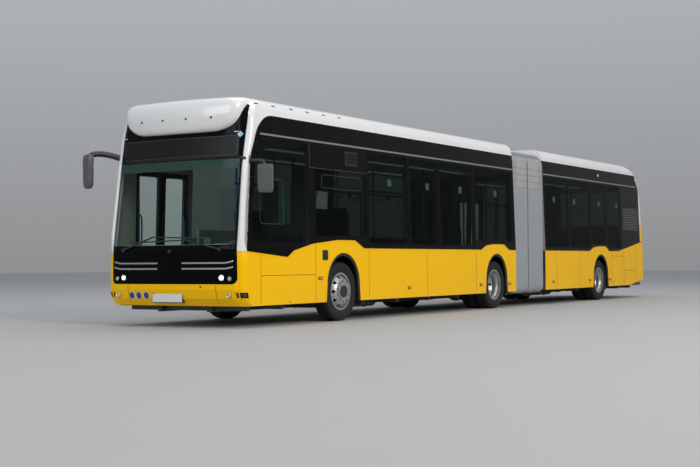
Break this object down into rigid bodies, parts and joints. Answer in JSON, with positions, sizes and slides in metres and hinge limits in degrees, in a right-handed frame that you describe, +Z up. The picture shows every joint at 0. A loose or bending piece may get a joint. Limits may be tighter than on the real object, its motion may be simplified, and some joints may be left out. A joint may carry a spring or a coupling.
{
  "type": "articulated city bus",
  "caption": "Low-floor battery electric articulated city bus in two car bodies with a bellows joint, steered front wheels, twin wheels behind and inward swinging doors.",
  "frame": {"origin": "on the ground under the middle of the overall length, on the bus's centre plane", "axes": "+X forward, +Y to the bus's left, +Z up"},
  "size_m": [18.3483, 3.1676, 3.3999],
  "materials": {
    "yellow_paint": "gloss",
    "white_paint": "gloss",
    "black_gloss": "gloss",
    "light_grey": "satin",
    "glass": "gloss",
    "clear_glass": "gloss",
    "dark_plastic": "matte",
    "lamp_glass": "gloss",
    "lamp_red": "gloss",
    "tyre": "matte",
    "wheel_silver": "satin",
    "steel_frame": "satin",
    "bellows_fabric": "matte",
    "seat_blue": "matte",
    "handrail": "satin",
    "interior_grey": "matte"
  },
  "bodies": {
    "front_car": {"front_underframe": "steel_frame", "front_lower_walls": "yellow_paint", "front_window_walls": "black_gloss", "front_roof": "white_paint", "front_roof_packs": "light_grey", "front_glass": "glass", "windscreen": "clear_glass", "nose_hoop": "white_paint", "roof_dome": "white_paint", "nose_panel": "black_gloss", "bumper": "yellow_paint", "head_lamps": "lamp_glass", "mirrors": "dark_plastic", "wipers": "dark_plastic", "dashboard": "interior_grey", "front_seats": "seat_blue", "front_handrails": "handrail", "front_axle": "steel_frame", "middle_axle": "steel_frame", "turntable_base": "steel_frame", "front_bellows": "bellows_fabric"},
    "joint_frame": {"joint_frame": "steel_frame"},
    "rear_car": {"rear_bellows": "bellows_fabric", "rear_underframe": "steel_frame", "rear_lower_walls": "yellow_paint", "rear_window_walls": "black_gloss", "rear_roof": "white_paint", "rear_roof_packs": "light_grey", "rear_glass": "glass", "tail_hoop": "white_paint", "tail_door": "yellow_paint", "tail_lamps": "lamp_red", "rear_seats": "seat_blue", "rear_handrails": "handrail", "rear_axle": "steel_frame", "turntable_ring": "steel_frame"},
    "left_knuckle": {"knuckle_left": "steel_frame"},
    "right_knuckle": {"knuckle_right": "steel_frame"},
    "front_left_wheel": {"front_tyre_left": "tyre", "front_wheel_left": "wheel_silver"},
    "front_right_wheel": {"front_tyre_right": "tyre", "front_wheel_right": "wheel_silver"},
    "middle_left_wheel": {"middle_tyre_left": "tyre", "middle_wheel_left": "wheel_silver"},
    "middle_right_wheel": {"middle_tyre_right": "tyre", "middle_wheel_right": "wheel_silver"},
    "rear_left_wheel": {"rear_tyre_left": "tyre", "rear_wheel_left": "wheel_silver"},
    "rear_right_wheel": {"rear_tyre_right": "tyre", "rear_wheel_right": "wheel_silver"},
    "door_1_front_leaf": {"door_1_front_leaf": "dark_plastic"},
    "door_1_rear_leaf": {"door_1_rear_leaf": "dark_plastic"},
    "door_2_front_leaf": {"door_2_front_leaf": "dark_plastic"},
    "door_2_rear_leaf": {"door_2_rear_leaf": "dark_plastic"},
    "door_3_front_leaf": {"door_3_front_leaf": "dark_plastic"},
    "door_3_rear_leaf": {"door_3_rear_leaf": "dark_plastic"}
  },
  "joints": [
    {"name": "articulation", "type": "hinge", "parent": "front_car", "child": "rear_car", "pos_m": [-1.5425, 0, 0.3], "axis": [0, 0, 1], "range_deg": [-48, 48], "deforming": ["front_bellows", "rear_bellows"]},
    {"name": "joint_frame_turn", "type": "hinge", "parent": "front_car", "child": "joint_frame", "pos_m": [-1.5425, 0, 0.3], "axis": [0, 0, 1], "range_deg": [-24, 24]},
    {"name": "steer_left", "type": "hinge", "parent": "front_car", "child": "left_knuckle", "pos_m": [6.1125, 0.938, 0.35], "axis": [0, 0, 1], "range_deg": [-40, 40]},
    {"name": "steer_right", "type": "hinge", "parent": "front_car", "child": "right_knuckle", "pos_m": [6.1125, -0.938, 0.35], "axis": [0, 0, 1], "range_deg": [-40, 40]},
    {"name": "front_left_spin", "type": "hinge", "parent": "left_knuckle", "child": "front_left_wheel", "pos_m": [6.1125, 1.1, 0.478], "axis": [0, 1, 0], "continuous": true},
    {"name": "front_right_spin", "type": "hinge", "parent": "right_knuckle", "child": "front_right_wheel", "pos_m": [6.1125, -1.1, 0.478], "axis": [0, 1, 0], "continuous": true},
    {"name": "middle_left_spin", "type": "hinge", "parent": "front_car", "child": "middle_left_wheel", "pos_m": [0.2125, 1.1, 0.478], "axis": [0, 1, 0], "continuous": true},
    {"name": "middle_right_spin", "type": "hinge", "parent": "front_car", "child": "middle_right_wheel", "pos_m": [0.2125, -1.1, 0.478], "axis": [0, 1, 0], "continuous": true},
    {"name": "rear_left_spin", "type": "hinge", "parent": "rear_car", "child": "rear_left_wheel", "pos_m": [-5.7775, 1.1, 0.478], "axis": [0, 1, 0], "continuous": true},
    {"name": "rear_right_spin", "type": "hinge", "parent": "rear_car", "child": "rear_right_wheel", "pos_m": [-5.7775, -1.1, 0.478], "axis": [0, 1, 0], "continuous": true},
    {"name": "door_1_front_swing", "type": "hinge", "parent": "front_car", "child": "door_1_front_leaf", "pos_m": [8.2775, -1.178, 1.4], "axis": [0, 0, 1], "range_deg": [-88, 0]},
    {"name": "door_1_rear_swing", "type": "hinge", "parent": "front_car", "child": "door_1_rear_leaf", "pos_m": [7.0575, -1.178, 1.4], "axis": [0, 0, 1], "range_deg": [0, 88]},
    {"name": "door_2_front_swing", "type": "hinge", "parent": "front_car", "child": "door_2_front_leaf", "pos_m": [3.7775, -1.178, 1.4], "axis": [0, 0, 1], "range_deg": [-88, 0]},
    {"name": "door_2_rear_swing", "type": "hinge", "parent": "front_car", "child": "door_2_rear_leaf", "pos_m": [2.5575, -1.178, 1.4], "axis": [0, 0, 1], "range_deg": [0, 88]},
    {"name": "door_3_front_swing", "type": "hinge", "parent": "rear_car", "child": "door_3_front_leaf", "pos_m": [-3.0725, -1.178, 1.4], "axis": [0, 0, 1], "range_deg": [-88, 0]},
    {"name": "door_3_rear_swing", "type": "hinge", "parent": "rear_car", "child": "door_3_rear_leaf", "pos_m": [-4.2925, -1.178, 1.4], "axis": [0, 0, 1], "range_deg": [0, 88]}
  ],
  "couplings": [
    {"joint": "joint_frame_turn", "follows": "articulation", "ratio": 0.5},
    {"joint": "steer_right", "follows": "steer_left", "ratio": 1},
    {"joint": "door_1_rear_swing", "follows": "door_1_front_swing", "ratio": -1},
    {"joint": "door_2_rear_swing", "follows": "door_2_front_swing", "ratio": -1},
    {"joint": "door_3_rear_swing", "follows": "door_3_front_swing", "ratio": -1}
  ]
}
